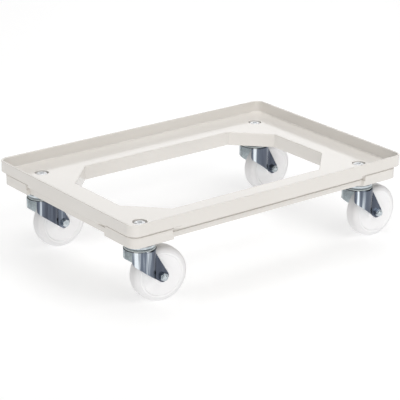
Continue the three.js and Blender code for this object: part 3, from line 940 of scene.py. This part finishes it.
def bearing_steel():
    """Polished balls with a thin film of grease."""
    n = Nodes("bearing_steel")
    film = n.noise(scale=300.0, detail=3.0)
    tone = n.ramp(film, [(0.35, (0.70, 0.71, 0.72)), (0.65, (0.82, 0.83, 0.84))])
    n.link(tone, n.shader.inputs["Base Color"])
    fine = n.noise(scale=500.0, detail=3.0)
    n.link(n.spread(fine, 0.08, 0.20), n.shader.inputs["Roughness"])
    n.set(Metallic=1.0)
    return n.material


def nylon():
    """Milky ring of the lock nut."""
    n = Nodes("nylon")
    milk = n.noise(scale=600.0, detail=3.0)
    tone = n.ramp(milk, [(0.3, (0.60, 0.66, 0.70)), (0.7, (0.72, 0.76, 0.78))])
    n.link(tone, n.shader.inputs["Base Color"])
    fine = n.noise(scale=900.0, detail=3.0)
    n.link(n.spread(fine, 0.35, 0.5), n.shader.inputs["Roughness"])
    return n.material


def studio_floor():
    """Pale floor with a hardly visible cloudiness."""
    n = Nodes("studio_floor")
    clouds = n.noise(scale=1.5, detail=2.0)
    tone = n.ramp(clouds, [(0.3, (0.55, 0.55, 0.55)), (0.7, (0.57, 0.57, 0.57))])
    n.link(tone, n.shader.inputs["Base Color"])
    n.set(Roughness=0.7, Emission_Strength=FLOOR_GLOW, Emission_Color=(1.0, 1.0, 1.0, 1.0))
    return n.material


# ---- Pieces ----

SHARP_ANGLE = 32                # degrees between faces from which an edge stays sharp
BEVEL_ANGLE = 50                # degrees from which a pressed edge is rounded


def painted(mesh, first, second, is_second):
    """Gives the mesh two materials, the second on the faces picked out."""
    mesh.materials.append(first)
    mesh.materials.append(second)
    for face in mesh.polygons:
        face.material_index = int(is_second(face))
    return mesh


def add_piece(name, mesh, material, slot, body, nodes, round_edge=0.0):
    """Puts a finished piece in the scene: smooth, with true edges, riding on its CAD body."""
    if not mesh.materials:
        mesh.materials.append(material)
    mesh.shade_smooth()
    mesh.set_sharp_from_angle(angle=math.radians(SHARP_ANGLE))
    obj = bpy.data.objects.new(name, mesh)
    bpy.context.scene.collection.objects.link(obj)
    if round_edge:
        bevel = obj.modifiers.new("edge", "BEVEL")
        bevel.width = round_edge
        bevel.segments = 2
        bevel.limit_method = "ANGLE"
        bevel.angle_limit = math.radians(BEVEL_ANGLE)
        bevel.use_clamp_overlap = True
    normals = obj.modifiers.new("normals", "WEIGHTED_NORMAL")
    normals.keep_sharp = True
    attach(obj, body)
    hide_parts(*nodes)


def joint_points():
    """Swivel centre and wheel centre of each castor."""
    places = {j["name"]: Vector(j["pos_m"]) for j in frame["joints"]}
    swivels = {c: places[f"{c}_swivel_turn"] for c in CORNERS}
    wheels = {c: places[f"{c}_wheel_spin"] for c in CORNERS}
    return swivels, wheels


swivel_of, axle_of = joint_points()

plastic = deck_plastic()
zinc = zinc_plate()
# Pale zinc on the fork's faces towards the wheel and on its crown: painted reflection and painted
# highlight.
fork_reflection_zinc = zinc_with_painted_reflection("zinc_with_painted_reflection", (0.88, 0.97, 1.0), 0.10)
# Pale zinc on the mounting bolt and washer: a painted reflection of the white deck.
bolt_reflection_zinc = zinc_with_painted_reflection("pale_bolt_zinc", (0.92, 0.94, 0.96), 0.30)
bright = fastener_plate()
steel = bearing_steel()
white = wheel_plastic("wheel_plastic", (0.950, 0.945, 0.953))
# Running surface: a darker copy of the same plastic, painted shade.
tread_painted_shade = wheel_plastic("wheel_tread", (0.850, 0.845, 0.852))
ring = nylon()

to_deck = Matrix.Translation((DECK_CENTRE.x, DECK_CENTRE.y, 0))
for name, mesh in (("deck_moulding", deck_mesh()), ("deck_underside_ribs", rib_grid())):
    add_piece(name, moved(mesh, to_deck), plastic, "deck", "deck", ["deck_frame"])


def add_castor(corner):
    """All pieces of one castor, turned so that the wheel trails the way it does at rest."""
    swivel, axle = swivel_of[corner], axle_of[corner]
    reach = (axle - swivel).to_2d()
    trail = reach.length
    upright = Matrix.Translation((swivel.x, swivel.y, 0))
    heading = upright @ Matrix.Rotation(math.atan2(reach.y, reach.x), 4, "Z")
    flip = Matrix.Rotation(math.pi if LOCK_NUT_SIDE[corner] < 0 else 0, 4, "X")

    def fixed(kind, mesh, material, slot):
        name, nodes = f"{corner}_{kind}_fine", [f"{corner}_{kind}"]
        add_piece(name, moved(mesh, upright), material, slot, "deck", nodes)

    def swinging(kind, mesh, material, slot, part="", **more):
        name, nodes = f"{corner}_{kind}{part}_fine", [f"{corner}_{kind}"]
        body = f"{corner}_rolling" if kind == "wheel" else f"{corner}_swivel"
        add_piece(name, moved(mesh, heading), material, slot, body, nodes, **more)

    washer_bottom = RECESS_FLOOR + GAP
    washer_top = washer_bottom + WASHER_THICKNESS
    washer = washer_mesh(WASHER_BORE, WASHER_RADIUS, washer_bottom, washer_top)
    # Mounting bolt and washer in pale zinc, a painted reflection of the white deck.
    fixed("mounting_bolt", mounting_bolt_mesh(), bolt_reflection_zinc, "fastener")
    fixed("mounting_washer", washer, bolt_reflection_zinc, "fastener")
    fixed("mounting_nut", mounting_nut_mesh(), bright, "fastener")
    fixed("swivel_head", head_mesh(), bright, "zinc")
    fixed("upper_ball_ring", ball_mesh(*UPPER_BALLS), steel, "bearing")
    fixed("lower_ball_ring", ball_mesh(*LOWER_BALLS), steel, "bearing")
    fixed("lower_bearing_cup", cup_mesh(), zinc, "zinc")
    # The drum carries painted highlights, and the faces towards the wheel and the crown a pale
    # painted reflection.
    fork = painted(mark_painted_highlights(fork_mesh(trail)), zinc, fork_reflection_zinc, shows_painted_reflection)
    swinging("fork", fork, zinc, "zinc", round_edge=FORK_EDGE)
    # The darker running surface is painted shade.
    wheel = painted(wheel_mesh(trail), white, tread_painted_shade, on_tread(trail))
    swinging("wheel", wheel, white, "wheel")
    swinging("axle_sleeve", on_axle(sleeve_mesh(), trail), bright, "fastener")
    swinging("axle_bolt", on_axle(moved(axle_bolt_mesh(), flip), trail), bright, "fastener")
    swinging("axle_nut", on_axle(moved(axle_nut_mesh(), flip), trail), bright, "fastener")
    lining = on_axle(moved(nut_lining_mesh(), flip), trail)
    swinging("axle_nut", lining, ring, "fastener", "_lining")


for corner in CORNERS:
    add_castor(corner)

# ---- Studio ----

FLOOR_SIZE = 40.0
FLOOR_THICKNESS = 0.01
KEY = {"place": (0.6, -2.2, 2.4), "size": (1.8, 1.2), "power": 21}
TOP = {"place": (0.0, 0.2, 2.8), "size": (3.0, 2.4), "power": 44}
BACK = {"place": (2.2, 2.8, 1.5), "size": (3.2, 1.6), "power": 23}
WORLD_BRIGHT_SIDE = Vector((-0.58, -0.72, 0.0))
WORLD_DARK = (0.02, 0.02, 0.022)
WORLD_BRIGHT = (1.20, 1.19, 1.17)
FLOOR_GLOW = 0.54
LIGHTS_AIM = Vector((0, 0, 0.1))

CAMERA_OFFSET = Vector((-1.7748, -2.2442, 0.9993))  # from the middle of the rim's top
CAMERA_AZIMUTH = -38.278        # the three angles are in degrees
CAMERA_ELEVATION = 20.752
CAMERA_ROLL = 0.762
CAMERA_LENS = 149.68
CAMERA_SENSOR = 36.0
CAMERA_CLIP = (0.05, 60.0)


def add_floor():
    half = FLOOR_SIZE / 2
    mesh = prism(rectangle(-half, half, -half, half), -FLOOR_THICKNESS, 0.0)
    mesh.materials.append(studio_floor())
    floor = bpy.data.objects.new("floor", mesh)
    bpy.context.scene.collection.objects.link(floor)


def add_light(name, place, size, power):
    lamp = bpy.data.lights.new(name, "AREA")
    lamp.shape = "RECTANGLE"
    lamp.size, lamp.size_y = size
    lamp.energy = power
    light = bpy.data.objects.new(name, lamp)
    light.location = place
    aim = LIGHTS_AIM - Vector(place)
    light.rotation_euler = aim.to_track_quat("-Z", "Y").to_euler()
    bpy.context.scene.collection.objects.link(light)


def add_world():
    """Soft room light that fades from one bright wall round to the dark side of the room."""
    world = bpy.data.worlds.new("studio")
    world.use_nodes = True
    nodes, links = world.node_tree.nodes, world.node_tree.links
    where = nodes.new("ShaderNodeTexCoord")
    toward = nodes.new("ShaderNodeVectorMath")
    toward.operation = "DOT_PRODUCT"
    toward.inputs[1].default_value = WORLD_BRIGHT_SIDE.normalized()
    ramp = nodes.new("ShaderNodeValToRGB")
    ramp.color_ramp.elements[0].color = (*WORLD_DARK, 1)
    ramp.color_ramp.elements[1].color = (*WORLD_BRIGHT, 1)
    links.new(where.outputs["Generated"], toward.inputs[0])
    links.new(toward.outputs["Value"], ramp.inputs["Fac"])
    links.new(ramp.outputs["Color"], nodes["Background"].inputs["Color"])
    bpy.context.scene.world = world


def add_camera():
    a, e, r = (math.radians(v) for v in (CAMERA_AZIMUTH, CAMERA_ELEVATION, CAMERA_ROLL))
    back = Vector((math.sin(a) * math.cos(e), -math.cos(a) * math.cos(e), math.sin(e)))
    level = (-back).cross(Vector((0, 0, 1))).normalized()
    upright = level.cross(-back)
    right = level * math.cos(r) + upright * math.sin(r)
    up = upright * math.cos(r) - level * math.sin(r)
    camera = bpy.data.objects.new("camera", bpy.data.cameras.new("camera"))
    camera.data.lens = CAMERA_LENS
    camera.data.sensor_width = CAMERA_SENSOR
    camera.data.clip_start, camera.data.clip_end = CAMERA_CLIP
    turn = Matrix((right, up, back)).transposed().to_4x4()
    aim = Vector((DECK_CENTRE.x, DECK_CENTRE.y, RIM_TOP))
    camera.matrix_world = Matrix.Translation(aim + CAMERA_OFFSET) @ turn
    bpy.context.scene.collection.objects.link(camera)
    bpy.context.scene.camera = camera


add_floor()
add_light("key", **KEY)
add_light("top", **TOP)
add_light("back", **BACK)
add_world()
add_camera()
bpy.context.scene.view_settings.view_transform = "Standard"
